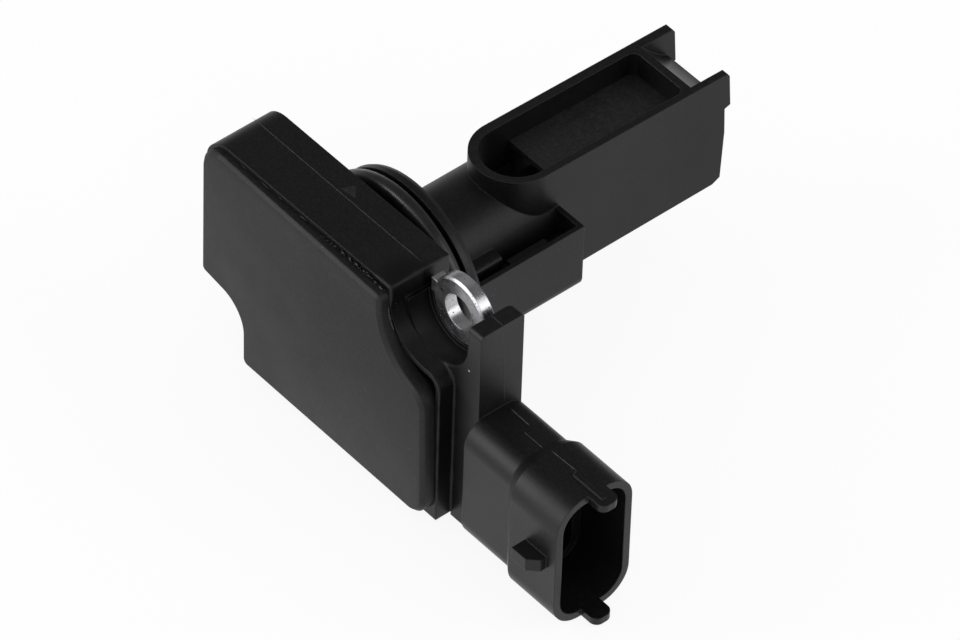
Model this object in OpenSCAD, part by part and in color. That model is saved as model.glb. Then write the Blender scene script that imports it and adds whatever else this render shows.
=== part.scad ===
// Plug-in mass airflow sensor. X runs to the connector, Y to the tip of the probe, Z up.
// The origin is on the spigot's axis, in the flange's back plane, which meets the duct.

/* [Flange box] */
// Left side of the box, from the spigot's axis
box_left = 23.35; // [22.5:0.05:26]
// Right side of the box, from the spigot's axis
box_right = 24.7; // [23.6:0.05:25.6]
// Top of the box, above the spigot's axis
box_top = 16.45; // [15.9:0.05:17.7]
// Bottom of the box, below the spigot's axis
box_bottom = 19.05; // [18.5:0.05:20.3]
// Depth of the box in front of the duct
box_depth = 10; // [9.5:0.1:12]
// Radius of the box's upper left corner
corner_r = 4.5; // [3:0.1:6]
// Thickness of the floor between the electronics and the duct
floor_t = 1.9; // [1.6:0.1:2.2]
// Thickness of the thin rim that stands round the cover
rim_t = 0.75; // [0.6:0.05:0.9]
// Thickness of the box's wall under the rim
wall_t = 2.6; // [2.5:0.05:3]
// Depth of the cover's seat below the rim
seat_depth = 1.6; // [1.2:0.1:2]

/* [Bolts] */
// Sideways distance of the upper bolt from the spigot's axis
upper_bolt_x = 21.1; // [20.7:0.1:21.3]
// Height of the upper bolt above the spigot's axis
upper_bolt_z = 13.2; // [12.9:0.1:13.5]
// Sideways distance of the lower bolt from the spigot's axis
lower_bolt_x = 18.9; // [18.5:0.1:19.3]
// Depth of the lower bolt below the spigot's axis
lower_bolt_z = 11.8; // [11.5:0.1:12.1]
// Diameter of the bolt hole in each bush
bolt_hole_d = 5.5; // [5:0.1:6.5]
// Outer diameter of each bush
bush_d = 10.4; // [9.5:0.1:10.8]
// Length of each bush
bush_len = 1.95; // [1.6:0.05:2.2]

/* [Cover] */
// Height of the cover in front of the rim
cover_proud = 1.8; // [1.2:0.1:2.4]
// Thickness of the cover's face
cover_t = 1.4; // [1.2:0.1:1.8]
// Gap for adhesive between the rim and the cover
cover_gap = 0.45; // [0.3:0.05:0.6]
// Radius of the cover's corner beside the connector, measured at the box's outer face
cover_corner_r = 3.2; // [2:0.1:4]

/* [Spigot] */
// Outer diameter of the spigot's land
land_d = 29; // [28.6:0.1:29.4]
// Distance from the flange to the near side of the land
land_y = 5.25; // [5:0.05:5.6]
// Width of the land
land_w = 1.6; // [1.3:0.05:2]
// Outer diameter of the round stem between the land and the probe
spigot_d = 15.8; // [15.2:0.1:16.4]
// Thickness of the O-ring
ring_t = 2.5; // [2:0.1:2.6]

/* [Probe] */
// Width of the probe across the air flow
probe_w = 12.6; // [12:0.1:13.4]
// Distance from the flange to the tip of the probe
probe_len = 55.6; // [53:0.1:61]
// Height of the probe's top face at its root, above the spigot's axis
probe_top = 10.55; // [10.1:0.05:11]
// Depth of the probe's underside, below the spigot's axis
probe_bottom = 9.7; // [9.4:0.1:10.2]
// Depth of the long recess in the probe's top face
recess_depth = 3.85; // [3.4:0.05:4.2]

/* [Connector] */
// Distance from the spigot's axis to the mouth of the connector
mouth_x = 49.65; // [48:0.05:53]
// Height of the connector's shroud, across the row of blades
shroud_h = 22.3; // [21.8:0.1:23]
// Thickness of the connector's shroud from front to back
shroud_w = 13.05; // [12.8:0.05:13.8]
// Wall of the shroud
shroud_t = 1.15; // [1:0.05:1.3]
// Distance between neighbouring blades
blade_pitch = 2.6; // [2.3:0.1:2.8]

/* [Hidden] */
$fn = 96;
// Length by which a cutting shape passes the face that it cuts
past = 1;

// Notches of the box, each an arc round a bolt head with two straight sides
upper_notch = [21.05, 13.7];
upper_notch_r = 6.5;
lower_notch = [-18.75, -12.15];
lower_notch_r = 4.5;
upper_notch_convex_r = 2.4;
lower_notch_convex_r = 2.5;

// Planes along the box's depth
front_y = -box_depth;
seat_y = front_y + seat_depth;
floor_y = -floor_t;
cover_y = front_y - cover_proud;
// Distance from the rim's outer face to the cover, and the larger one round the upper bolt
cover_in = rim_t + cover_gap;
cover_notch_in = cover_in + cover_gap;
skirt_t = 1.1;
// The adhesive stands lower than the rim by this much
sealant_low = 0.5;

// Base block and tab between the box and the connector
block_front_y = -7.4;
block_right = 29.65;
block_bottom = -19.65;
tab_left = 27.15;
tab_top = 17.2;
pocket_r = 6;
upper_bolt = [upper_bolt_x, upper_bolt_z];
lower_bolt = [-lower_bolt_x, -lower_bolt_z];
// Front of the bushes and of the ears that hold them
bush_front_y = -3.85;
boss_r = 6.6;
seat_out = 0.35;
bush_edge = 0.3;
seat_h = 2.25;
lower_ear_r = 6.1;
// The tab is rounded along its top edges at the front and the back, and down its back left corner
tab_front_r = 0.9;
tab_back_r = 0.5;
tab_left_r = 1.2;

// Probe, with the plan's centre line and the draft of its top face
probe_x = 0.65;
probe_r = probe_w / 2;
probe_root_y = 17.1;
draft = 0.02;
draft_from_y = 27;
wall_left_t = 1.4;
wall_right_t = 1.1;
root_wall_t = 1.3;
recess_l = probe_x - probe_r + wall_left_t;
recess_r = probe_x + probe_r - wall_right_t;
recess_mid = (recess_l + recess_r) / 2;
recess_rad = (recess_r - recess_l) / 2;
recess_end_y = 48.9;
end_wall_t = 1.2;
recess_corner_r = 1.2;
plate_from_y = 26.8;
plate_t = 1;
glue_t = 0.15;
ledge_w = 1;
chamber_floor_z = -8.2;
outlet_from_y = 37;
outlet_to_y = 47;
upper_tip_y = probe_len + 1;
step_z = 3.6;
chute_end_z = 5;
chute_back = 0.6;
tip_corner = 1.3;
// The tip leans out to a low ridge, and the upper tine reaches past it
tip_lean = 0.2;
tip_ridge_z = -0.8;
tine_nose = 0.6;
tine_foot = 0.3;

// Groove of the O-ring, and the land's taper toward the duct
groove_r = 12.45;
ring_play = 0.05;
ring_y = 3.55;
land_taper = 0.3;
land_straight = 0.95;

// Side pocket beside the stem
pocket_right = 12.2;
side_top_z = 3.7;
side_bottom_z = -8.05;
side_end_y = 26;
side_wall_t = 0.75;
side_floor_z = -0.4;
side_bottom_r = 2.2;
// Block beside the stem, with a round upper edge, and the ledge along the wall that follows it
side_block_to = 14.1;
side_block_right = 9.45;
side_block_z = 3.1;
side_block_r = 0.85;
side_ledge_to = 20.6;
side_ledge_z = 3.2;
side_ledge_w = 1.3;

// Connector: neck, ramp and shroud share one centre line
conn_y = -4.5;
conn_z = -8.3;
neck_h = 21.1;
neck_w = 10.6;
neck_r = 3.65;
neck_from = 29.65;
ramp_from = 38.85;
ramp_to = 40.45;
shroud_r = 4.7;
shroud_from = 41.1;
cavity_back = 34.7;
neck_wall_t = 1.3;
key_w = 3.15;
key_len = 2.9;
key_r = 1.2;
key_shift = 0.25;
rail_w = 0.75;
rail_h = 0.25;
rail_from = 45.6;
rail_to = 51.4;
lug_from = 43.65;
lug_to = 47.85;
lug_reach = 2.4;
lug_h = 2.1;
lug_z = -7.6;
lug_chamfer = 1.4;

// Blades
blade_t = 0.64;
blade_w = 1.5;
blade_in = 19.4;
blade_out = 43.6;
blade_tip = 1.2;
blades = 5;
function blade_z(i) = conn_z + (i - (blades - 1) / 2) * blade_pitch;
shelf_left = 18.7;
shelf_side = 2;
bay_right = box_right - wall_t;

// Electronics on the floor of the box
plate_left = -10.1;
plate_right = 18.3;
plate_low = -15.5;
plate_high = -0.9;
heat_t = 0.9;
board_t = 0.64;
board_gap = 0.6;
heat_y = floor_y - heat_t;
board_y = heat_y - board_t;
gel_t = 2.2;
gel_gap = 0.4;
ribbon_t = 0.12;
ribbon_w = 0.8;
ribbon_foot = 0.8;
ribbon_rise = 0.35;
// Each part on the board: centre x, centre z, width, height, thickness
signal_box = [-2.4, -7.5, 6.4, 6.4, 1.1];
driver_box = [9.5, -10.5, 4.2, 3.4, 0.9];
input_box = [13.7, -3.7, 2, 1.25, 0.9];
output_box = [9.7, -3.7, 2, 1.25, 0.9];
filter_box = [4.7, -11.9, 3.2, 1.6, 1.2];
trim_box = [5.3, -5.3, 1.6, 3.2, 0.5];

// Sensor carrier
carrier_w = 6.4;
carrier_t = 1.2;
carrier_z = 1;
carrier_from = -4.2;
carrier_to = 39;
carrier_play = 0.2;
seal_w = 1.4;
seal_t = 1.2;
chip_w = 3.2;
chip_len = 4.4;
chip_t = 0.3;
chip_y = 34;

// Air temperature bead and its leads
bead_r = 0.75;
bead_at = [1.6, 21.2, 5.8];
lead_d = 0.35;
lead_pitch = 0.9;
lead_socket_z = 2.4;

// Shapes drawn flat and pulled along one axis
module along_y(y0, y1) {
    translate([0, y1, 0]) rotate([90, 0, 0]) linear_extrude(y1 - y0) children();
}
module along_x(x0, x1) {
    translate([x0, 0, 0]) rotate([90, 0, 90]) linear_extrude(x1 - x0) children();
}
module along_z(z0, z1) {
    translate([0, 0, z0]) linear_extrude(z1 - z0) children();
}
// A block given by two opposite corners
module block(low, high) {
    translate(low) cube(high - low);
}
// What a rounded corner loses: the square outside an arc, on the side that the signs give
module corner_cut(at, r, side_x, side_z) {
    difference() {
        translate([at[0] + (side_x < 0 ? -r - past : 0), at[1] + (side_z < 0 ? -r - past : 0)])
            square(r + past);
        translate(at) circle(r);
    }
}
module rounded(w, h, r) {
    square([w - 2 * r, h], center = true);
    square([w, h - 2 * r], center = true);
    for (sx = [-1, 1], sz = [-1, 1])
        translate([sx * (w / 2 - r), sz * (h / 2 - r)]) circle(r);
}

// Outline of the box seen from the front, drawn in by e, and by en round the upper bolt
module notch(at, r, side) {
    far = 60;
    translate(at) circle(r);
    translate([side > 0 ? at[0] - r : at[0] + r - far, side > 0 ? at[1] : at[1] - far]) square(far);
    translate([side > 0 ? at[0] : at[0] - far, side > 0 ? at[1] - r : at[1] + r - far]) square(far);
}
module box_plan(e, en) {
    outer_r = corner_r - e;
    upper_r = max(upper_notch_convex_r - en, 0.4);
    lower_r = max(lower_notch_convex_r - e, 0.4);
    inner_r = max(cover_corner_r - e, 0.4);
    difference() {
        translate([-box_left + e, -box_bottom + e])
            square([box_left + box_right - 2 * e, box_top + box_bottom - 2 * e]);
        corner_cut([-box_left + e + outer_r, box_top - e - outer_r], outer_r, -1, 1);
        notch(upper_notch, upper_notch_r + en, 1);
        notch(lower_notch, lower_notch_r + e, -1);
        corner_cut([box_right - e - upper_r, upper_notch[1] - upper_notch_r - en - upper_r],
            upper_r, 1, 1);
        corner_cut([-box_left + e + lower_r, lower_notch[1] + lower_notch_r + e + lower_r],
            lower_r, -1, -1);
        corner_cut([lower_notch[0] + lower_notch_r + e + lower_r, -box_bottom + e + lower_r],
            lower_r, -1, -1);
        // The box's own lower right corner is square, since the base block covers it
        if (e > 0)
            corner_cut([box_right - e - inner_r, -box_bottom + e + inner_r], inner_r, 1, -1);
    }
}
module at_bolt(bolt) {
    translate([bolt[0], bush_front_y + bush_len, bolt[1]]) rotate([90, 0, 0]) children();
}

// Height of the probe's top face at a distance from the flange
function top_z(y) = probe_top - draft * (y - draft_from_y);

module probe_plan() {
    translate([probe_x, probe_root_y + probe_r]) circle(probe_r);
    translate([probe_x - probe_r, probe_root_y + probe_r])
        square([probe_w, upper_tip_y - probe_root_y - probe_r]);
}
module probe_side() {
    polygon([
        [probe_root_y, -probe_bottom],
        [probe_len - tip_lean - tip_corner, -probe_bottom],
        [probe_len - tip_lean, -probe_bottom + tip_corner / 2],
        [probe_len + tip_lean, tip_ridge_z],
        [probe_len, step_z],
        [upper_tip_y, step_z + tine_foot],
        [probe_len + tine_nose, top_z(probe_len) - tine_nose],
        [probe_len + tip_lean, top_z(probe_len)],
        [probe_root_y, top_z(probe_root_y)]]);
}
// Plan of the long recess: a round root and two small corners at the tip end
module recess_plan(to_y) {
    root_y = probe_root_y + root_wall_t + recess_rad;
    translate([recess_mid, root_y]) circle(recess_rad);
    difference() {
        translate([recess_l, root_y]) square([2 * recess_rad, to_y - root_y]);
        corner_cut([recess_l + recess_corner_r, to_y - recess_corner_r], recess_corner_r, -1, 1);
        corner_cut([recess_r - recess_corner_r, to_y - recess_corner_r], recess_corner_r, 1, 1);
    }
}
module probe_solid() {
    intersection() {
        along_z(-probe_bottom - past, probe_top + past) probe_plan();
        along_x(probe_x - probe_r, probe_x + probe_r) probe_side();
    }
}
// Side outline of what the recess removes above a plane that follows the top face
module above(depth, from_y, to_y) {
    polygon([[from_y, top_z(from_y) - depth], [to_y, top_z(to_y) - depth],
        [to_y, probe_top + past], [from_y, probe_top + past]]);
}
module probe_hollows() {
    root_y = probe_root_y - past;
    // Recess down to the cover plate, and the deep hole at its root
    intersection() {
        along_z(chamber_floor_z, probe_top + past) recess_plan(recess_end_y);
        union() {
            along_x(recess_l - past, recess_r + past)
                above(recess_depth + plate_t + glue_t, root_y, recess_end_y + past);
            block([recess_l - past, root_y, lead_socket_z], [recess_r + past, plate_from_y, probe_top]);
        }
    }
    // Air channel under the cover plate, with ledges that carry the plate
    block([recess_l + ledge_w, plate_from_y - ledge_w, chamber_floor_z],
        [recess_r - ledge_w, recess_end_y - ledge_w, top_z(recess_end_y) - recess_depth]);
    // Outlet of the air channel in the underside
    block([recess_l + 2 * ledge_w, outlet_from_y, -probe_bottom - past],
        [recess_r - 2 * ledge_w, outlet_to_y, chamber_floor_z + past]);
    // Open chute between the two tines of the tip
    along_x(recess_l, recess_r) chute_side();
    block([recess_l, probe_len - chute_back, step_z], [recess_r, upper_tip_y + past, probe_top]);
}
// Chute: it falls from the end wall's top to the tip in a hollow curve
module chute_side() {
    start = recess_end_y + end_wall_t;
    run = upper_tip_y + past - start;
    fall = top_z(start) - chute_end_z;
    steps = 10;
    polygon(concat(
        [for (i = [0:steps]) [start + run * i / steps,
            chute_end_z + fall * pow(1 - i / steps, 1.8)]],
        [[upper_tip_y + past, probe_top + past], [start, probe_top + past]]));
}

module side_pocket_solid() {
    difference() {
        block([0, land_y + land_w, side_bottom_z], [pocket_right, side_end_y, side_top_z]);
        along_y(0, side_end_y + past)
            corner_cut([pocket_right - side_bottom_r, side_bottom_z + side_bottom_r],
                side_bottom_r, 1, -1);
    }
}
module side_pocket_hollow() {
    right = pocket_right - side_wall_t;
    low = side_floor_z - past;
    difference() {
        block([0, land_y + land_w, side_floor_z], [right, side_end_y - side_wall_t, side_top_z + past]);
        along_y(land_y, side_block_to) difference() {
            translate([-past, low]) square([side_block_right + past, side_block_z - low]);
            corner_cut([side_block_right - side_block_r, side_block_z - side_block_r], side_block_r, 1, 1);
        }
        block([right - side_ledge_w, side_block_to, low], [right + past, side_ledge_to, side_ledge_z]);
    }
}

module neck_section(grow) {
    translate([conn_y, conn_z]) rounded(neck_w + 2 * grow, neck_h + 2 * grow, neck_r + grow);
}
module shroud_section(grow) {
    translate([conn_y, conn_z]) rounded(shroud_w + 2 * grow, shroud_h + 2 * grow, shroud_r + grow);
}
module connector_solid() {
    thin = 0.01;
    shroud_top = conn_z + shroud_h / 2;
    shroud_low = conn_z - shroud_h / 2;
    shroud_front = conn_y - shroud_w / 2;
    along_x(neck_from, ramp_from + thin) neck_section(0);
    hull() {
        along_x(ramp_from, ramp_from + thin) neck_section(0, $fn = 48);
        along_x(ramp_to - thin, ramp_to) shroud_section(0, $fn = 48);
    }
    along_x(ramp_to, mouth_x) shroud_section(0);
    // Key tongues at the top and the bottom of the mouth, and the fine rail on the upper one
    along_z(shroud_low, shroud_low + shroud_t) tongue(conn_y);
    along_z(shroud_top - shroud_t, shroud_top) tongue(conn_y + key_shift);
    block([rail_from, conn_y - rail_w / 2, shroud_top - past], [rail_to, conn_y + rail_w / 2, shroud_top + rail_h]);
    // Side lug of the shroud
    along_z(lug_z - lug_h / 2, lug_z + lug_h / 2)
        polygon([[lug_from, shroud_front + past], [lug_from, shroud_front - lug_reach],
            [lug_to - lug_chamfer, shroud_front - lug_reach],
            [lug_to, shroud_front - lug_reach + lug_chamfer], [lug_to, shroud_front + past]]);
}
module tongue(y) {
    translate([mouth_x - key_r, y]) difference() {
        translate([0, -key_w / 2]) square([key_len + key_r, key_w]);
        for (s = [-1, 1])
            corner_cut([key_len, s * (key_w / 2 - key_r)], key_r, 1, s);
    }
}
module connector_cavity() {
    along_x(cavity_back, mouth_x + past) neck_section(-neck_wall_t);
    along_x(shroud_from, mouth_x + past) shroud_section(-shroud_t);
}
module blade(i) {
    z = blade_z(i);
    along_z(z - blade_w / 2, z + blade_w / 2)
        polygon([[blade_in, conn_y - blade_t / 2], [blade_out - blade_tip, conn_y - blade_t / 2],
            [blade_out, conn_y - blade_t / 8], [blade_out, conn_y + blade_t / 8],
            [blade_out - blade_tip, conn_y + blade_t / 2], [blade_in, conn_y + blade_t / 2]]);
}

module terminal(i) color([0.78, 0.76, 0.7]) blade(i);
module terminal_1() terminal(0);
module terminal_2() terminal(1);
module terminal_3() terminal(2);
module terminal_4() terminal(3);
module terminal_5() terminal(4);

module ears() {
    // Base block, ear and tab on the connector's side
    along_y(block_front_y, 0) {
        translate([upper_bolt[0] - pocket_r - past, -box_bottom])
            square([block_right - upper_bolt[0] + pocket_r + past, upper_bolt[1] + box_bottom]);
        translate([box_right, block_bottom]) square([block_right - box_right, box_bottom]);
    }
    tab();
    // Lower ear, in the box's lower notch
    along_y(bush_front_y, 0) {
        translate(lower_bolt) circle(lower_ear_r);
        translate(lower_bolt - [0, lower_ear_r]) square([lower_ear_r, 2 * lower_ear_r]);
    }
}
module tab() {
    intersection() {
        along_x(tab_left, block_right) difference() {
            translate([block_front_y, 0]) square([-block_front_y, tab_top]);
            corner_cut([block_front_y + tab_front_r, tab_top - tab_front_r], tab_front_r, -1, 1);
            corner_cut([-tab_back_r, tab_top - tab_back_r], tab_back_r, 1, 1);
        }
        along_z(0, tab_top) difference() {
            translate([tab_left, block_front_y]) square([block_right - tab_left, -block_front_y]);
            corner_cut([tab_left + tab_left_r, -tab_left_r], tab_left_r, -1, 1);
        }
    }
}
module ear_cuts() {
    along_y(block_front_y - past, bush_front_y) {
        translate(upper_bolt) circle(pocket_r);
        translate(upper_bolt - [pocket_r, 0]) square([2 * pocket_r, tab_top]);
    }
    // Room behind each bush for the duct's own boss
    for (bolt = [upper_bolt, lower_bolt])
        at_bolt(bolt) translate([0, 0, bush_front_y]) cylinder(r = boss_r, h = -bush_front_y);
    for (bolt = [upper_bolt, lower_bolt])
        at_bolt(bolt) translate([0, 0, -past]) cylinder(d = bush_d, h = bush_len + 2 * past);
    lug_seat();
}
// Small square lug that stops the upper bush from turning
module lug_seat() {
    block([upper_bolt[0] - bush_d / 2 - seat_out, bush_front_y, upper_bolt[1]],
        [upper_bolt[0] - bush_d / 2 + 2 * seat_out, bush_front_y + bush_len, upper_bolt[1] + seat_h]);
}

module housing() color([0.13, 0.13, 0.14]) difference() {
    union() {
        difference() {
            union() {
                along_y(front_y, 0) box_plan(0, 0);
                ears();
            }
            ear_cuts();
        }
        connector_solid();
        rotate([-90, 0, 0]) cylinder(r = groove_r, h = land_y + past);
        translate([0, land_y, 0]) rotate([-90, 0, 0]) cylinder(d = land_d, h = land_straight);
        translate([0, land_y + land_straight, 0]) rotate([-90, 0, 0])
            cylinder(d1 = land_d, d2 = land_d - 2 * land_taper, h = land_w - land_straight);
        rotate([-90, 0, 0]) cylinder(d = spigot_d, h = side_end_y);
        probe_solid();
        side_pocket_solid();
    }
    // Seat of the cover, and the bay for the electronics
    along_y(front_y - past, seat_y) box_plan(rim_t, rim_t);
    difference() {
        along_y(front_y - past, floor_y) box_plan(wall_t, wall_t);
        block([shelf_left, conn_y + blade_t / 2, blade_z(0) - shelf_side],
            [bay_right + past, 0, blade_z(blades - 1) + shelf_side]);
    }
    connector_cavity();
    for (i = [0:blades - 1]) blade(i);
    probe_hollows();
    difference() {
        side_pocket_hollow();
        rotate([-90, 0, 0]) cylinder(d = spigot_d, h = side_end_y);
        block([probe_x - probe_r, probe_root_y, -probe_bottom], [probe_x + probe_r, probe_len, probe_top]);
    }
    carrier_slot();
}
module carrier_slot() {
    block([recess_mid - carrier_w / 2 - carrier_play, floor_y - past, carrier_z],
        [recess_mid + carrier_w / 2 + carrier_play, plate_from_y, carrier_z + carrier_t + carrier_play]);
}

module cover_lid() color([0.2, 0.2, 0.21]) difference() {
    along_y(cover_y, seat_y) box_plan(cover_in, cover_notch_in);
    along_y(cover_y + cover_t, seat_y + past)
        box_plan(cover_in + skirt_t, cover_notch_in + skirt_t);
}
module lid_sealant() color([0.08, 0.08, 0.08]) {
    along_y(front_y + sealant_low, seat_y) difference() {
        box_plan(rim_t, rim_t);
        box_plan(cover_in, cover_notch_in);
    }
}

module bush(bolt) {
    at_bolt(bolt) difference() {
        union() {
            cylinder(d = bush_d, h = bush_len - bush_edge);
            translate([0, 0, bush_len - bush_edge])
                cylinder(d1 = bush_d, d2 = bush_d - 2 * bush_edge, h = bush_edge);
        }
        translate([0, 0, -past]) cylinder(d = bolt_hole_d, h = bush_len + 2 * past);
    }
}
module bush_upper() color([0.75, 0.76, 0.77]) difference() {
    union() {
        bush(upper_bolt);
        lug_seat();
    }
    at_bolt(upper_bolt) translate([0, 0, -past]) cylinder(d = bolt_hole_d, h = bush_len + 2 * past);
}
module bush_lower() color([0.75, 0.76, 0.77]) bush(lower_bolt);

module o_ring() color([0.1, 0.1, 0.1])
    translate([0, ring_y, 0]) rotate([-90, 0, 0])
        rotate_extrude() translate([groove_r + ring_play + ring_t / 2, 0]) circle(d = ring_t);

module bypass_cover() color([0.18, 0.18, 0.19]) intersection() {
    along_z(-past, probe_top) recess_plan(recess_end_y);
    along_x(recess_l, recess_r) difference() {
        above(recess_depth + plate_t, plate_from_y, recess_end_y);
        above(recess_depth, plate_from_y - past, recess_end_y + past);
    }
}
module bypass_adhesive() color([0.3, 0.3, 0.28]) intersection() {
    along_z(-past, probe_top) recess_plan(recess_end_y);
    difference() {
        along_x(recess_l, recess_r) difference() {
            above(recess_depth + plate_t + glue_t, plate_from_y, recess_end_y);
            above(recess_depth + plate_t, plate_from_y - past, recess_end_y + past);
        }
        block([recess_l + ledge_w, plate_from_y - past, -past],
            [recess_r - ledge_w, recess_end_y - ledge_w, probe_top]);
    }
}

module thermistor_bead() color([0.75, 0.72, 0.6]) difference() {
    translate(bead_at) sphere(bead_r);
    leads();
}
module leads() {
    for (s = [-1, 1])
        translate([bead_at[0] + s * lead_pitch / 2, bead_at[1], lead_socket_z])
            cylinder(d = lead_d, h = bead_at[2] - lead_socket_z);
}
module thermistor_leads() color([0.8, 0.8, 0.78]) leads();

module heat_plate() color([0.7, 0.71, 0.72])
    block([plate_left, heat_y, plate_low], [plate_right, floor_y, plate_high]);
module circuit_substrate() color([0.85, 0.85, 0.8])
    block([plate_left + board_gap, board_y, plate_low + board_gap],
        [plate_right - board_gap, heat_y, plate_high - board_gap]);
module on_board(part) {
    block([part[0] - part[2] / 2, board_y - part[4], part[1] - part[3] / 2],
        [part[0] + part[2] / 2, board_y, part[1] + part[3] / 2]);
}
module signal_chip() color([0.1, 0.1, 0.11]) on_board(signal_box);
module driver_chip() color([0.1, 0.1, 0.11]) on_board(driver_box);
module capacitor_input() color([0.6, 0.5, 0.38]) on_board(input_box);
module capacitor_output() color([0.6, 0.5, 0.38]) on_board(output_box);
module capacitor_filter() color([0.6, 0.5, 0.38]) on_board(filter_box);
module trim_resistor() color([0.15, 0.2, 0.35]) on_board(trim_box);

module sensor_carrier() color([0.16, 0.16, 0.17]) difference() {
    block([recess_mid - carrier_w / 2, carrier_from, carrier_z],
        [recess_mid + carrier_w / 2, carrier_to, carrier_z + carrier_t]);
    chip_seat();
}
module chip_seat() {
    block([recess_mid - chip_w / 2, chip_y, carrier_z + carrier_t - chip_t],
        [recess_mid + chip_w / 2, chip_y + chip_len, carrier_z + carrier_t + past]);
}
module sensor_chip() color([0.3, 0.32, 0.4])
    block([recess_mid - chip_w / 2, chip_y, carrier_z + carrier_t - chip_t],
        [recess_mid + chip_w / 2, chip_y + chip_len, carrier_z + carrier_t]);
module carrier_seal() color([0.3, 0.3, 0.3]) difference() {
    block([recess_mid - carrier_w / 2 - seal_w, floor_y - seal_t, carrier_z - seal_w],
        [recess_mid + carrier_w / 2 + seal_w, floor_y, carrier_z + carrier_t + seal_w]);
    block([recess_mid - carrier_w / 2, floor_y - 2 * seal_t, carrier_z],
        [recess_mid + carrier_w / 2, floor_y + past, carrier_z + carrier_t]);
}

// Thin ribbon that steps from one surface to another, drawn in the plane across its width
module ribbon(points, low, high) {
    translate([0, 0, low]) linear_extrude(high - low) polygon(points);
}
module terminal_ribbons() color([0.8, 0.78, 0.6]) {
    top = conn_y - blade_t / 2;
    start = blade_in + ribbon_foot;
    finish = plate_right - board_gap - ribbon_foot;
    for (i = [0:blades - 1])
        ribbon([[start, top], [start, top - ribbon_t], [blade_in - ribbon_rise, top - ribbon_t - ribbon_rise],
            [finish + ribbon_foot, board_y - ribbon_t], [finish, board_y - ribbon_t], [finish, board_y],
            [finish + ribbon_foot, board_y], [blade_in - ribbon_rise, top - ribbon_rise], [blade_in, top]],
            blade_z(i) - ribbon_w / 2, blade_z(i) + ribbon_w / 2);
}
module carrier_ribbons() color([0.8, 0.78, 0.6]) {
    pads = 4;
    pitch = 1.4;
    pad_z = plate_high - board_gap - ribbon_foot;
    for (i = [0:pads - 1])
        translate([recess_mid + (i - (pads - 1) / 2) * pitch, 0, 0])
            along_x(-ribbon_w / 2, ribbon_w / 2)
                polygon([[carrier_from, carrier_z + ribbon_foot],
                    [carrier_from - ribbon_t, carrier_z + ribbon_foot],
                    [carrier_from - ribbon_t - ribbon_rise, carrier_z - ribbon_rise - ribbon_t],
                    [board_y - ribbon_t, pad_z], [board_y - ribbon_t, pad_z - ribbon_foot],
                    [board_y, pad_z - ribbon_foot], [board_y, pad_z],
                    [carrier_from - ribbon_rise, carrier_z - ribbon_rise], [carrier_from, carrier_z]]);
}
module potting_gel() color([0.6, 0.65, 0.68, 0.5]) difference() {
    block([plate_left + board_gap + gel_gap, board_y - gel_t, plate_low + board_gap + gel_gap],
        [plate_right - board_gap - gel_gap, board_y, plate_high - board_gap - gel_gap]);
    for (part = [signal_box, driver_box, input_box, output_box, filter_box, trim_box]) on_board(part);
    terminal_ribbons();
    carrier_ribbons();
}

housing();
cover_lid();
lid_sealant();
bush_upper();
bush_lower();
o_ring();
bypass_cover();
bypass_adhesive();
thermistor_bead();
thermistor_leads();
heat_plate();
circuit_substrate();
signal_chip();
driver_chip();
capacitor_input();
capacitor_output();
capacitor_filter();
trim_resistor();
sensor_carrier();
sensor_chip();
carrier_seal();
carrier_ribbons();
terminal_1();
terminal_2();
terminal_3();
terminal_4();
terminal_5();
terminal_ribbons();
potting_gel();
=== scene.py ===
import math
import random

import bmesh
import bpy
from mathutils import Matrix, Vector, noise


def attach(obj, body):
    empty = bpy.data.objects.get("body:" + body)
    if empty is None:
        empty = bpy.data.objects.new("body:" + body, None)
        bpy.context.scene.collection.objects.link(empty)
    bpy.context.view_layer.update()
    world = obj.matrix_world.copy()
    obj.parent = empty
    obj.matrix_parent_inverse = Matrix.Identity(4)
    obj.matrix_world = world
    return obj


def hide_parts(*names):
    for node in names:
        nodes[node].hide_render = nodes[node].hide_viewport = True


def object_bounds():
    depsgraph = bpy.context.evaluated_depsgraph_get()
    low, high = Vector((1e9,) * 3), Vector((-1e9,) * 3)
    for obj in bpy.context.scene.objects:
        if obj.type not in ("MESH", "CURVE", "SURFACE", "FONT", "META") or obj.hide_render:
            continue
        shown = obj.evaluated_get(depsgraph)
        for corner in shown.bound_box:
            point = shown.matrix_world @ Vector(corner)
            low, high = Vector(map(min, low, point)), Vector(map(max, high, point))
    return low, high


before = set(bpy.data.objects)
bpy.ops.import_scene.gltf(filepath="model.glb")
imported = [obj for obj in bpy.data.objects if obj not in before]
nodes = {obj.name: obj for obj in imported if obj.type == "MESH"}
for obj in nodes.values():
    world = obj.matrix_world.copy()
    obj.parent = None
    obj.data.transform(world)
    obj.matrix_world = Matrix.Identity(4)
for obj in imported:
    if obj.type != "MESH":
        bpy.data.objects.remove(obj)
cad_low, cad_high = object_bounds()

# Shapes are written in millimetres and become metres with this
MM = 0.001

# Faces of the solids that small details sit on, as in the part's source
BOX_LEFT = -23.35
BOX_TOP = 16.45
BOX_BOTTOM = -19.05
RIM_Y = -10.0
TAB_TOP = 17.2
BLOCK_RIGHT = 29.65
BLOCK_FRONT_Y = -7.4
NECK_TOP = 2.25
NECK_BOTTOM = -18.85
SHROUD_TOP = 2.85
SHROUD_BOTTOM = -19.45
PROBE_X = 0.65
PROBE_BOTTOM = -9.7
UPPER_BOLT = (21.1, 13.2)
LOWER_BOLT = (-18.9, -11.8)


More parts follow.
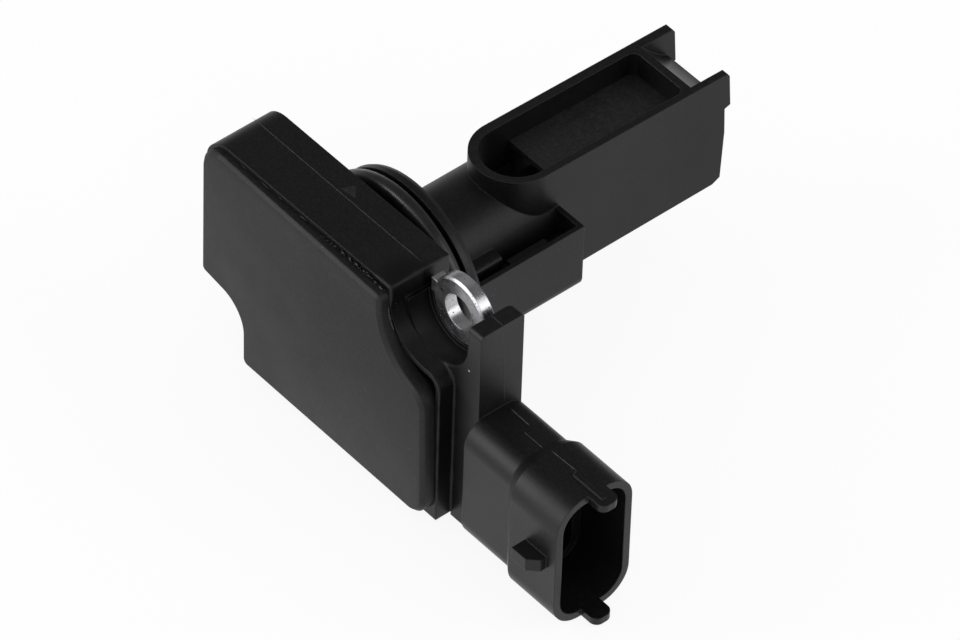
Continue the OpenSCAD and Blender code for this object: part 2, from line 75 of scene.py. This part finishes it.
# Node trees
class Nodes:
    """A node tree, with short names for the nodes that this script uses."""

    def __init__(self, tree, space="Object"):
        self.tree = tree
        self.tree.nodes.clear()
        self.coord = self.node("TexCoord").outputs[space]

    def node(self, kind, **settings):
        made = self.tree.nodes.new("ShaderNode" + kind)
        for key, value in settings.items():
            setattr(made, key, value)
        return made

    def put(self, socket, value):
        """Link an output to the socket, or set the socket to a number, vector or colour."""
        if isinstance(value, bpy.types.NodeSocket):
            self.tree.links.new(value, socket)
        elif socket.type == "RGBA":
            socket.default_value = (*value, 1)
        else:
            socket.default_value = value

    def math(self, kind, a, b=0.0):
        made = self.node("Math", operation=kind)
        self.put(made.inputs[0], a)
        self.put(made.inputs[1], b)
        return made.outputs[0]

    def plus(self, a, b):
        return self.math("ADD", a, b)

    def times(self, a, b):
        return self.math("MULTIPLY", a, b)

    def ramp(self, value, low, high, to_low=0.0, to_high=1.0, ease="SMOOTHSTEP"):
        """The range from low to high mapped to the range from to_low to to_high, and held outside it."""
        made = self.node("MapRange", interpolation_type=ease)
        ends = {"Value": value, "From Min": low, "From Max": high, "To Min": to_low, "To Max": to_high}
        for key, end in ends.items():
            self.put(made.inputs[key], end)
        return made.outputs[0]

    def mix(self, amount, a, b):
        """A colour between a and b."""
        made = self.node("Mix", data_type="RGBA")
        self.put(made.inputs[0], amount)
        self.put(made.inputs[6], a)
        self.put(made.inputs[7], b)
        return made.outputs[2]

    def dot(self, vector, direction):
        made = self.node("VectorMath", operation="DOT_PRODUCT")
        self.put(made.inputs[0], vector)
        self.put(made.inputs[1], direction)
        return made.outputs["Value"]

    def split(self, vector):
        made = self.node("SeparateXYZ")
        self.put(made.inputs[0], vector)
        return made.outputs

    def noise(self, scale, detail=2.0, rough=0.5, vector=None):
        made = self.node("TexNoise")
        self.put(made.inputs["Scale"], scale)
        self.put(made.inputs["Detail"], detail)
        self.put(made.inputs["Roughness"], rough)
        self.put(made.inputs["Vector"], vector or self.coord)
        return made.outputs["Fac"]

    def cells(self, scale):
        """Scattered cells: the distance to each one's middle, and a random number for each."""
        made = self.node("TexVoronoi")
        self.put(made.inputs["Scale"], scale)
        self.put(made.inputs["Vector"], self.coord)
        return made.outputs["Distance"], self.split(made.outputs["Color"])[0]

    def rays(self, *kinds):
        """1 for a ray of any of these kinds, and 0 for the rest."""
        path = self.node("LightPath").outputs
        found = path[kinds[0]]
        for kind in kinds[1:]:
            found = self.math("MAXIMUM", found, path[kind])
        return found

    def mix_shader(self, amount, a, b):
        made = self.node("MixShader")
        self.put(made.inputs[0], amount)
        self.put(made.inputs[1], a)
        self.put(made.inputs[2], b)
        return made.outputs[0]


class Shader(Nodes):
    """A material with one Principled shader."""

    def __init__(self, name):
        self.mat = bpy.data.materials.new(name)
        self.mat.use_nodes = True
        super().__init__(self.mat.node_tree)
        self.bsdf = self.node("BsdfPrincipled")
        self.put(self.node("OutputMaterial").inputs["Surface"], self.bsdf.outputs["BSDF"])

    def set(self, **values):
        for key, value in values.items():
            self.put(self.bsdf.inputs[key.replace("_", " ")], value)

    def near(self, point, size):
        """1 close to a point of the object, 0 from size on."""
        made = self.node("VectorMath", operation="DISTANCE")
        self.put(made.inputs[0], self.coord)
        self.put(made.inputs[1], [v * MM for v in point])
        return self.ramp(made.outputs["Value"], size * MM * 0.55, size * MM, 1.0, 0.0)

    def soft_edge(self, radius, samples=4, places=()):
        """Rounded edges. places lists where their radius is another one: (point, size, radius)."""
        made = self.node("Bevel", samples=samples)
        size = radius * MM
        for point, reach, other in places:
            size = self.plus(size, self.times(self.near(point, reach), (other - radius) * MM))
        self.put(made.inputs["Radius"], size)
        return made.outputs["Normal"]

    def edge_share(self, rounded):
        """1 on edges and 0 on flats, from how far the rounded normal leans off the true one."""
        flat = self.node("NewGeometry").outputs["Normal"]
        return self.ramp(self.dot(flat, rounded), 0.80, 0.995, 1.0, 0.0)

    def bump(self, height, distance, normal):
        made = self.node("Bump")
        self.put(made.inputs["Strength"], 1.0)
        self.put(made.inputs["Distance"], distance * MM)
        self.put(made.inputs["Height"], height)
        self.put(made.inputs["Normal"], normal)
        return made.outputs["Normal"]


# Kinds of material
# Scales of the noise are per metre, depths and radii of edges are in millimetres
DUST_GREY = (0.10, 0.10, 0.105)
FIBRE_GREY = (0.26, 0.26, 0.27)
# Share of paler colour painted on edges as a highlight
EDGE_HIGHLIGHT = 0.55


def shade(colour, factor, more=0.0):
    """The colour made lighter or darker."""
    return [c * factor + more for c in colour]


def dust(sh, colour, scale, size, share, tone):
    """The colour with specks: their scale, their size in it, what share of them shows, their tone."""
    distance, pick = sh.cells(scale)
    shown = sh.math("GREATER_THAN", pick, 1 - share)
    speck = sh.ramp(distance, size * 0.4, size, 1.0, 0.0)
    return sh.mix(sh.times(shown, speck), colour, tone)


def moulded(name, base, rough, grain=11000, depth=0.012, edge=0.22, coat=0.0, specks=0.5, level=0.25,
            marks=(), places=()):
    """Glass-filled plastic: spark-eroded grain, flow clouding, a painted highlight on its edges, a little
    dust.

    level is its specular level, specks how dusty it is, and marks are stains and patches of painted shade
    as (point, size, colour).
    """
    sh = Shader(name)
    cloud = sh.noise(scale=55, detail=3, rough=0.6)
    fine = sh.noise(scale=grain, detail=3, rough=0.6)
    coarse = sh.noise(scale=grain / 4, detail=3, rough=0.6)
    colour = sh.mix(sh.ramp(cloud, 0.32, 0.68), shade(base, 0.85), shade(base, 1.15))
    colour = sh.mix(sh.ramp(coarse, 0.40, 0.66, 0, 0.9), colour, shade(base, 2.2, 0.001))
    colour = sh.mix(sh.ramp(fine, 0.5, 0.72, 0, 0.6), colour, shade(base, 2.6, 0.002))
    colour = dust(sh, colour, scale=900, size=0.085, share=0.035 * specks, tone=DUST_GREY)
    colour = dust(sh, colour, scale=420, size=0.040, share=0.05 * specks, tone=FIBRE_GREY)
    for point, size, tone in marks:
        colour = sh.mix(sh.near(point, size), colour, tone)
    rounded = sh.soft_edge(edge, samples=6 if places else 4, places=places)
    # Painted highlight: edges made paler where the rounded normal leans off the flat one
    colour = sh.mix(sh.times(sh.edge_share(rounded), EDGE_HIGHLIGHT), colour, shade(base, 2.5, 0.014))
    cloudy_rough = sh.ramp(cloud, 0.3, 0.7, rough - 0.04, rough + 0.05)
    sh.set(
        Base_Color=colour,
        Roughness=sh.plus(cloudy_rough, sh.times(fine, 0.06)),
        Normal=sh.bump(sh.plus(fine, sh.times(coarse, 0.6)), depth, rounded),
        Specular_IOR_Level=level,
        Coat_Weight=coat,
    )
    return sh


def lathe_marks(sh, centre, waver):
    """Fine rings in the XZ plane about a centre, 0.15 mm apart, that waver a little."""
    x, _, z = sh.split(sh.coord)
    dx = sh.math("SUBTRACT", x, centre[0] * MM)
    dz = sh.math("SUBTRACT", z, centre[1] * MM)
    radius = sh.math("SQRT", sh.plus(sh.times(dx, dx), sh.times(dz, dz)))
    radians_per_metre = 42000.0
    return sh.math("SINE", sh.times(sh.plus(radius, sh.times(waver, 0.0001)), radians_per_metre))


def metal(name, colour, rough, turned=None, edge=0.12, pits=0.0, depth=0.006):
    """Bright metal. turned is the centre of the lathe marks in X and Z, pits the share of pitted cells."""
    sh = Shader(name)
    fine = sh.noise(scale=9000, detail=3, rough=0.6)
    cloud = sh.noise(scale=260, detail=4, rough=0.65)
    if turned:
        rings = lathe_marks(sh, turned, cloud)
        height = sh.plus(sh.times(rings, 0.35), sh.times(fine, 0.7))
    else:
        drawn = sh.node("Mapping")
        sh.put(drawn.inputs["Scale"], (1, 8, 1))
        sh.put(drawn.inputs["Vector"], sh.coord)
        height = sh.noise(scale=1400, detail=3, rough=0.6, vector=drawn.outputs[0])
    tint = sh.mix(sh.ramp(cloud, 0.35, 0.7), shade(colour, 0.72), colour)
    if pits:
        distance, pick = sh.cells(scale=2600)
        pitted = sh.math("GREATER_THAN", pick, 1 - pits)
        hole = sh.times(sh.ramp(distance, 0.12, 0.34, 1.0, 0.0), pitted)
        tint = sh.mix(hole, tint, shade(colour, 0.2))
        height = sh.math("SUBTRACT", height, sh.times(hole, 2.0))
    sh.set(
        Base_Color=tint,
        Metallic=1.0,
        Roughness=sh.ramp(cloud, 0.3, 0.75, rough - 0.08, rough + 0.12),
        Normal=sh.bump(height, depth, sh.soft_edge(edge)),
    )
    return sh


def rubber(name, base, rough, grain):
    """Black rubber or cured sealant, slightly uneven."""
    sh = Shader(name)
    cloud = sh.noise(scale=180, detail=3, rough=0.6)
    fine = sh.noise(scale=grain, detail=2, rough=0.5)
    colour = sh.mix(sh.ramp(cloud, 0.35, 0.65), shade(base, 0.8), shade(base, 1.25))
    colour = dust(sh, colour, scale=700, size=0.05, share=0.06, tone=(0.12, 0.12, 0.12))
    sh.set(
        Base_Color=colour,
        Roughness=sh.ramp(cloud, 0.3, 0.7, rough - 0.05, rough + 0.08),
        Normal=sh.bump(sh.plus(fine, sh.times(cloud, 2.0)), 0.02, sh.soft_edge(0.1)),
    )
    return sh


def glass_bead(name):
    """Pale glaze over the temperature bead."""
    sh = Shader(name)
    cloud = sh.ramp(sh.noise(900, 3), 0.4, 0.6)
    sh.set(
        Base_Color=sh.mix(cloud, (0.42, 0.36, 0.22), (0.55, 0.5, 0.36)),
        Roughness=0.12,
        Coat_Weight=0.8,
    )
    return sh


def clear_gel(name):
    """Soft clear gel over the electronics."""
    sh = Shader(name)
    sh.set(
        Base_Color=sh.mix(sh.noise(300, 2), (0.72, 0.78, 0.8), (0.85, 0.9, 0.92)),
        Roughness=sh.ramp(sh.noise(400, 2), 0.3, 0.7, 0.06, 0.16),
        Transmission_Weight=0.9,
        IOR=1.41,
    )
    return sh


# Materials of this part
BLACK = (0.0032, 0.0032, 0.0035)
# Painted shade: a darker tone laid where the notch and the box's side beside the lid lie in shade
PAINTED_SHADE = (0.0006, 0.0006, 0.0007)

# A speck on the tab, stains on the pocket and the shroud, and painted shade in the notch and beside the lid
SPECK = (0.30, 0.30, 0.31)
STAIN = (0.004, 0.004, 0.004)
housing_marks = [
    ((27.46, BLOCK_FRONT_Y, 9.58), 0.22, SPECK),
    ((12.2, 25.3, -2.6), 0.35, STAIN),
    ((12.2, 25.7, -2.2), 0.28, STAIN),
    ((38.6, -9.8, -8.1), 0.30, (0.008, 0.008, 0.009)),
    ((14.6, -7.0, 13.5), 6.0, PAINTED_SHADE),
]
# Painted shade down the box's right side, beside the lid
for z in (2, -3, -8, -13, -18):
    housing_marks.append(((24.9, -8.5, z), 4.4, PAINTED_SHADE))

# The corner between the box's top and its upper notch is well rounded, and so are the edges at the foot
#  of its right side. The step in the notch's wall is sharp. The painted highlight on edges is as wide as
#  these roundings
housing_edges = [
    ((14.2, -8.0, BOX_TOP - 0.05), 4.2, 0.9),
    ((14.4, -3.5, BOX_TOP - 0.05), 3.4, 0.8),
    ((15.0, BLOCK_FRONT_Y, 11.5), 3.6, 0.02),
    ((17.4, BLOCK_FRONT_Y, 8.2), 3.4, 0.02),
    ((22.8, BLOCK_FRONT_Y, 7.0), 2.6, 0.7),
]
for z, reach in ((4.0, 3.5), (-2.0, 5.0), (-9.0, 5.0), (-15.5, 5.0)):
    housing_edges.append(((24.7, BLOCK_FRONT_Y, z), reach, 0.55))

housing = moulded("housing_black", BLACK, 0.36, marks=housing_marks, places=housing_edges)
lid = moulded("lid_black", (0.0036, 0.0036, 0.0042), 0.44, grain=8000, depth=0.02, edge=0.14,
              specks=1.0, level=0.27)
plate = moulded("plate_black", (0.0085, 0.0085, 0.0095), 0.42, grain=9000, depth=0.014, edge=0.1,
                level=0.38)
carrier = moulded("carrier_black", (0.004, 0.004, 0.0045), 0.45, edge=0.08)
witness = moulded("witness_line", (0.03, 0.03, 0.032), 0.5, edge=0.03, specks=0.2)
scuffed = moulded("scuffed_black", (0.0085, 0.0085, 0.009), 0.5, grain=7000, depth=0.03, edge=0.05)
package = moulded("chip_package", (0.02, 0.02, 0.022), 0.55, grain=16000, edge=0.05, specks=0.1)
tan = moulded("capacitor_tan", (0.40, 0.30, 0.18), 0.45, grain=16000, edge=0.06, specks=0.1)
film = moulded("resistor_film", (0.03, 0.05, 0.12), 0.3, grain=16000, edge=0.05, specks=0.1, coat=0.3)
ceramic = moulded("substrate_white", (0.72, 0.72, 0.68), 0.6, grain=14000, edge=0.05, specks=0.1)
die = moulded("sensor_die", (0.07, 0.08, 0.16), 0.12, grain=22000, depth=0.002, edge=0.03,
              specks=0.1, coat=0.6)

bush = metal("bush_bright", (0.60, 0.60, 0.62), 0.31, turned=UPPER_BOLT, pits=0.25, depth=0.014)
bush_low = metal("bush_bright_low", (0.62, 0.62, 0.64), 0.36, turned=LOWER_BOLT, pits=0.22, depth=0.014)
blade = metal("blade_tin", (0.66, 0.65, 0.62), 0.28)
wire = metal("wire_tinned", (0.70, 0.67, 0.60), 0.3, edge=0.03)
sheet = metal("heat_sheet", (0.74, 0.75, 0.76), 0.34)

ring = rubber("ring_rubber", (0.008, 0.008, 0.0085), 0.32, 5000)
glue = rubber("sealant_black", (0.004, 0.004, 0.0045), 0.42, 1500)
bead = glass_bead("bead_glass")
gel = clear_gel("gel_clear")

finishes = {
    "housing": housing,
    "cover_lid": lid,
    "lid_sealant": glue,
    "bush_upper": bush,
    "bush_lower": bush_low,
    "o_ring": ring,
    "bypass_cover": plate,
    "bypass_adhesive": glue,
    "thermistor_bead": bead,
    "thermistor_leads": wire,
    "heat_plate": sheet,
    "circuit_substrate": ceramic,
    "signal_chip": package,
    "driver_chip": package,
    "capacitor_input": tan,
    "capacitor_output": tan,
    "capacitor_filter": tan,
    "trim_resistor": film,
    "sensor_carrier": carrier,
    "sensor_chip": die,
    "carrier_seal": glue,
    "carrier_ribbons": wire,
    "terminal_ribbons": wire,
    "potting_gel": gel,
}
for i in range(1, 6):
    finishes[f"terminal_{i}"] = blade
for name, sh in finishes.items():
    mesh = nodes[name].data
    mesh.materials.clear()
    mesh.materials.append(sh.mat)


# Pieces added to the solids
def add(name, verts, faces, material, slot, smooth=True):
    """A mesh, given in millimetres, as a piece that rides on the part's one body."""
    mesh = bpy.data.meshes.new(name)
    mesh.from_pydata([tuple(c * MM for c in v) for v in verts], [], faces)
    mesh.validate()
    mesh.materials.append(material)
    for p in mesh.polygons:
        p.use_smooth = smooth
    piece = bpy.data.objects.new(name, mesh)
    bpy.context.scene.collection.objects.link(piece)
    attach(piece, "root")
    return piece


# Witness lines of the mould
def tube(paths, sides=8):
    """Closed tubes along lists of (point, radius), as vertices and faces."""
    verts, faces = [], []
    up = Vector((0.3, 0.2, 0.93)).normalized()
    for path in paths:
        points = [Vector(p) for p, _ in path]
        start = len(verts)
        for i, (p, r) in enumerate(path):
            before = points[max(i - 1, 0)]
            after = points[min(i + 1, len(points) - 1)]
            along = (after - before).normalized()
            side = along.cross(up).normalized()
            top = side.cross(along).normalized()
            for k in range(sides):
                t = 2 * math.pi * k / sides
                verts.append(Vector(p) + r * (math.cos(t) * side + math.sin(t) * top))
        for i in range(len(path) - 1):
            a = start + i * sides
            b = a + sides
            faces += [(a + k, a + (k + 1) % sides, b + (k + 1) % sides, b + k) for k in range(sides)]
        last = start + (len(path) - 1) * sides
        faces.append(tuple(start + k for k in reversed(range(sides))))
        faces.append(tuple(last + k for k in range(sides)))
    return verts, faces


def line(a, b, radius, steps=24, wobble=0.0, seed=1):
    """A straight line from a to b, thinner at its ends, that may wobble along Y."""
    a, b = Vector(a), Vector(b)
    fade_rate, end_share = 12, 0.2
    out = []
    for i in range(steps + 1):
        t = i / steps
        fade = min(1.0, fade_rate * t + end_share, fade_rate * (1 - t) + end_share)
        w = noise.noise(Vector((i * 0.37, seed * 3.1, 0.5))) * wobble
        out.append((a.lerp(b, t) + Vector((0, w, 0)), radius * fade))
    return out


# The mould parts at this Y on the box. A line's middle is sunk a little below the face
PART_Y = -3.6
NECK_PART_Y = -4.4
SUNK = 0.01
BOX_LINE = {"radius": 0.045, "wobble": 0.05}
top_z = BOX_TOP - SUNK
tab_z = TAB_TOP - SUNK
right_x = BLOCK_RIGHT - SUNK
left_x = BOX_LEFT + SUNK
bottom_z = BOX_BOTTOM + SUNK
probe_z = PROBE_BOTTOM + SUNK
seams = [
    line((-21.6, PART_Y, top_z), (13.6, PART_Y - 0.1, top_z), steps=60, **BOX_LINE),
    line((27.2, PART_Y, tab_z), (29.6, PART_Y, tab_z), radius=0.04),
    line((right_x, -3.65, 16.6), (right_x, -2.95, 2.5), radius=0.04, steps=40),
    line((30.9, -2.84, NECK_TOP), (34.6, -2.92, NECK_TOP), radius=0.10),
    line((35.1, -4.25, NECK_TOP), (38.9, -4.25, NECK_TOP), radius=0.05),
    line((40.4, -4.1, SHROUD_TOP), (45.2, -3.95, SHROUD_TOP), radius=0.075),
    line((45.2, -3.95, SHROUD_TOP), (45.5, -4.85, SHROUD_TOP), radius=0.06, steps=6),
    line((-20.0, PART_Y, bottom_z), (22.0, PART_Y, bottom_z), steps=40, seed=2, **BOX_LINE),
    line((30.0, NECK_PART_Y, NECK_BOTTOM), (38.9, NECK_PART_Y, NECK_BOTTOM), radius=0.045, steps=20),
    line((40.6, NECK_PART_Y, SHROUD_BOTTOM), (48.4, NECK_PART_Y, SHROUD_BOTTOM), radius=0.045, steps=20),
    line((left_x, PART_Y, 11.6), (left_x, PART_Y, -4.6), steps=30, seed=5, **BOX_LINE),
    line((PROBE_X, 50.3, probe_z), (PROBE_X, 27.0, probe_z), steps=30, seed=6, **BOX_LINE),
]
add("mould_lines", *tube(seams), witness.mat, "housing_plastic")


# Small raised arrow on the top of the box
def build_arrow():
    corners = [(-4.0, -3.15), (-2.95, -1.25), (-1.25, -2.75)]
    middle = (-2.75, -2.375)
    top_share = 0.92
    half_h = 0.05
    verts = [(x, y, BOX_TOP - half_h) for x, y in corners]
    for x, y in corners:
        top_x = middle[0] + (x - middle[0]) * top_share
        top_y = middle[1] + (y - middle[1]) * top_share
        verts.append((top_x, top_y, BOX_TOP + half_h))
    faces = [(0, 1, 2), (5, 4, 3), (0, 3, 4, 1), (1, 4, 5, 2), (2, 5, 3, 0)]
    add("top_arrow", verts, faces, scuffed.mat, "housing_plastic", False)


build_arrow()

# Lid with its chamfer. Its face leans: it stands further out toward the right
LID_FACE_Y = -11.65
LID_LEAN = 0.019
LID_CHAMFER = 0.55
LID_FOOT_Y = -9.5
LID_SEAT_Y = -8.45
LID_FOOT_IN = 0.9
SHARP_ANGLE = 32


def arc(centre, radius, start, stop, steps):
    """Points on an arc from one angle to another, in degrees."""
    out = []
    for i in range(steps + 1):
        t = math.radians(start + (stop - start) * i / steps)
        out.append((centre[0] + radius * math.cos(t), centre[1] + radius * math.sin(t)))
    return out


def lid_plan():
    """Outline of the lid as (x, z), clockwise from its upper left corner."""
    upper_left = arc((-19.05, 11.65), 4.0, 180, 91, 18)
    above_notch = arc((13.25, 14.32), 1.1, 89, 5, 10)
    upper_notch = arc((24.04, 13.88), 9.7, 184, 252, 30)
    under_notch = arc((20.16, 1.2), 3.56, 72, 2, 16)
    lower_right = arc((21.25, -15.15), 3.05, 2, -89, 16)
    beside_notch = arc((-12.85, -17.62), 1.3, 270, 181, 10)
    lower_notch = arc((-18.95, -13.35), 4.75, 0, 84, 24)
    lower_left = arc((-21.95, -7.05), 1.1, 268, 180, 10)
    return (upper_left + above_notch + upper_notch + under_notch
            + lower_right + beside_notch + lower_notch + lower_left)


def drawn_in(outline, inset):
    """The outline moved inward by inset along its own normals."""
    out = []
    for i, (x, z) in enumerate(outline):
        xa, za = outline[i - 1]
        xb, zb = outline[(i + 1) % len(outline)]
        run = math.hypot(xb - xa, zb - za)
        out.append((x + inset * (zb - za) / run, z - inset * (xb - xa) / run))
    return out


def build_lid():
    """The lid, from rings of its outline: face, chamfer, straight side, foot and skirt to the seat."""
    under_y = LID_FACE_Y + LID_CHAMFER
    # Each ring is how far in it lies, its y, and how it leans
    rings = [
        (LID_CHAMFER + 0.03, LID_FACE_Y, LID_LEAN),
        (LID_CHAMFER - 0.04, LID_FACE_Y + 0.02, LID_LEAN),
        (0.04, under_y - 0.04, LID_LEAN),
        (0.0, under_y + 0.03, LID_LEAN),
        (0.0, LID_FOOT_Y, 0.0),
        (LID_FOOT_IN, LID_FOOT_Y, 0.0),
        (LID_FOOT_IN, LID_SEAT_Y, 0.0),
    ]
    outline = lid_plan()
    n = len(outline)
    verts = []
    for inset, y, lean in rings:
        verts += [(x, y - lean * x, z) for x, z in drawn_in(outline, inset)]
    last = (len(rings) - 1) * n
    faces = [tuple(reversed(range(n)))]
    for a in range(0, last, n):
        b = a + n
        faces += [(a + i, a + (i + 1) % n, b + (i + 1) % n, b + i) for i in range(n)]
    faces.append(tuple(last + i for i in range(n)))
    piece = add("lid_round", verts, faces, lid.mat, "lid_plastic")
    bm = bmesh.new()
    bm.from_mesh(piece.data)
    bmesh.ops.recalc_face_normals(bm, faces=bm.faces)
    bm.to_mesh(piece.data)
    bm.free()
    piece.data.set_sharp_from_angle(angle=math.radians(SHARP_ANGLE))
    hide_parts("cover_lid")


build_lid()


# Adhesive squeezed out round the lid
def blobs(name, spots, material, slot, seed):
    """Small uneven drops, each an icosphere pushed about by noise: (centre, radii)."""
    verts, faces = [], []
    rng = random.Random(seed)
    for centre, radii in spots:
        bm = bmesh.new()
        bmesh.ops.create_icosphere(bm, subdivisions=3, radius=1.0)
        shift = Vector((rng.uniform(0, 50), rng.uniform(0, 50), 0))
        start = len(verts)
        for v in bm.verts:
            w = 1 + 0.45 * noise.noise(v.co * 1.7 + shift) + 0.15 * noise.noise(v.co * 5 + shift)
            verts.append([c + r * w * q for c, r, q in zip(centre, radii, v.co)])
        faces += [tuple(start + v.index for v in f.verts) for f in bm.faces]
        bm.free()
    return add(name, verts, faces, material, slot)


def beads_on_top(rng):
    """A row of beads in the gap above the lid, at (x, z, radius), each with five crumbs about it."""
    row = [
        (1.2, 15.8, 0.10), (3.6, 15.9, 0.13), (5.2, 15.9, 0.20), (6.6, 15.85, 0.16), (7.9, 15.85, 0.22),
        (9.4, 15.8, 0.17), (10.5, 15.75, 0.22), (11.8, 15.6, 0.19), (12.9, 15.3, 0.30), (13.5, 14.5, 0.42),
    ]
    out = []
    for x, z, r in row:
        out.append(((x, RIM_Y - 0.25, z), (r * 1.5, r * 0.8, r * 0.8)))
        for _ in range(5):
            q = rng.uniform(0.03, 0.09)
            crumb_x = x + rng.uniform(-0.9, 0.9)
            crumb_y = RIM_Y - 0.2 + rng.uniform(-0.3, 0.1)
            crumb_z = z + rng.uniform(-0.2, 0.15)
            out.append(((crumb_x, crumb_y, crumb_z), (q * 2.2, q, q)))
    return out


def smears_on_top():
    """Long thin smears in the gap above the lid, further left."""
    row = [(-15.5, 15.9, 0.06), (-11.0, 15.9, 0.08), (-8.0, 15.88, 0.05), (-3.1, 15.85, 0.08)]
    return [((x, RIM_Y - 0.12, z), (r * 9, r, r)) for x, z, r in row]


def run_beside_notch():
    """One long run down the side of the upper notch, thickest in its middle."""
    top_x, top_z, drop = 14.35, 12.7, 3.1
    count = 13
    out = []
    for k in range(count):
        t = k / (count - 1)
        r = 0.10 + 0.17 * math.sin(math.pi * (0.1 + 0.8 * t))
        out.append(((top_x + 1.1 * t * t, RIM_Y - 0.15, top_z - drop * t), (r, r * 0.8, 0.30)))
    return out


def drops_on_notch_wall():
    """Flat drops on the wall of the upper notch, at (y, z, radius)."""
    wall_x = 14.75
    row = [(-9.2, 13.3, 0.10), (-8.8, 12.6, 0.07), (-9.0, 12.0, 0.10), (-8.4, 12.9, 0.06), (-9.4, 11.4, 0.07)]
    return [((wall_x, y, z), (r * 0.6, r, r)) for y, z, r in row]


glue_spots = beads_on_top(random.Random(7)) + smears_on_top() + run_beside_notch() + drops_on_notch_wall()
blobs("squeezed_glue", glue_spots, glue.mat, "sealant", 3)

# Floor: white paper that takes the shadow. It shows as white to the camera, glossy and clear surfaces
DIRECT_RAYS = ("Is Camera Ray", "Is Glossy Ray", "Is Transmission Ray")
WHITE = (1, 1, 1)


def build_floor():
    paper = (0.93, 0.93, 0.93)
    white_share = 0.9
    gap_below = 0.0002
    bpy.ops.mesh.primitive_plane_add(size=6, location=(0, 0, cad_low.z - gap_below))
    floor = bpy.context.object
    floor.name = "floor"
    mat = bpy.data.materials.new("floor_white")
    mat.use_nodes = True
    tree = Nodes(mat.node_tree)
    matt = tree.node("BsdfDiffuse")
    tree.put(matt.inputs["Color"], paper)
    # Reflections find the paper paler in front on the right than behind
    forward = tree.dot(tree.coord, Vector((1, -1, 0)).normalized())
    level = tree.ramp(forward, -0.0323, 0.0485, 0.74, 1.14, "LINEAR")
    strength = tree.node("Mix", data_type="FLOAT")
    tree.put(strength.inputs[0], tree.rays("Is Camera Ray"))
    tree.put(strength.inputs[2], level)
    tree.put(strength.inputs[3], 1.0)
    glow = tree.node("Emission")
    tree.put(glow.inputs["Color"], WHITE)
    tree.put(glow.inputs["Strength"], strength.outputs[0])
    share = tree.times(tree.rays(*DIRECT_RAYS), white_share)
    surface = tree.mix_shader(share, matt.outputs[0], glow.outputs[0])
    tree.put(tree.node("OutputMaterial").inputs["Surface"], surface)
    floor.data.materials.append(mat)


def build_world():
    """White to the camera, a plain level as light, and for reflections a room with a softbox in it."""
    light_level = 0.75
    dark_side = Vector((-0.35, 0.42, 0.83)).normalized()
    softbox_side = Vector((-0.05, -0.93, 0.37)).normalized()
    world = bpy.data.worlds.new("studio")
    world.use_nodes = True
    bpy.context.scene.world = world
    tree = Nodes(world.node_tree, "Generated")
    light = tree.node("Background")
    tree.put(light.inputs["Color"], WHITE)
    tree.put(light.inputs["Strength"], light_level)
    # The room is dark overhead, behind the object, and the softbox is in front, where edges catch it
    room = tree.ramp(tree.dot(tree.coord, dark_side), 0.0, 0.75, 0.9, 0.2)
    softbox = tree.ramp(tree.dot(tree.coord, softbox_side), 0.72, 0.88, 0.0, 1.5)
    strength = tree.math("MAXIMUM", tree.plus(room, softbox), tree.rays("Is Camera Ray"))
    shown = tree.node("Background")
    tree.put(shown.inputs["Color"], WHITE)
    tree.put(shown.inputs["Strength"], strength)
    surface = tree.mix_shader(tree.rays(*DIRECT_RAYS), light.outputs[0], shown.outputs[0])
    tree.put(tree.node("OutputWorld").inputs["Surface"], surface)


def lamp(name, where, aim, size, power):
    data = bpy.data.lights.new(name, "AREA")
    data.shape = "SQUARE"
    data.size = size
    data.energy = power
    ob = bpy.data.objects.new(name, data)
    ob.location = where
    ob.rotation_euler = (Vector(aim) - Vector(where)).to_track_quat("-Z", "Y").to_euler()
    bpy.context.scene.collection.objects.link(ob)


build_floor()
build_world()
lamp("front_box", (-0.43, -0.60, 0.38), (0, 0, 0), 0.5, 2.2)
lamp("side_box", (0.66, 0.44, 0.46), (0, 0.02, 0), 0.5, 1.6)


# Camera at the photograph's angle, in metres and degrees
def build_camera():
    tilt, heading, roll = 44.99, 48.17, 1.95
    aim = Vector((0.0140859, 0.0061914, 0))
    distance = 1.2351508
    data = bpy.data.cameras.new("camera")
    data.sensor_fit = "HORIZONTAL"
    data.sensor_width = 36.0
    data.lens = 349.7625
    data.clip_start = 0.1
    data.clip_end = 20
    camera = bpy.data.objects.new("camera", data)
    bpy.context.scene.collection.objects.link(camera)
    turn = Matrix.Rotation(math.radians(heading), 4, "Z")
    turn = turn @ Matrix.Rotation(math.radians(tilt), 4, "X")
    turn = turn @ Matrix.Rotation(math.radians(roll), 4, "Z")
    back = turn @ Vector((0, 0, distance))
    camera.matrix_world = Matrix.Translation(aim + back) @ turn
    bpy.context.scene.camera = camera


build_camera()
bpy.context.scene.view_settings.view_transform = "Standard"
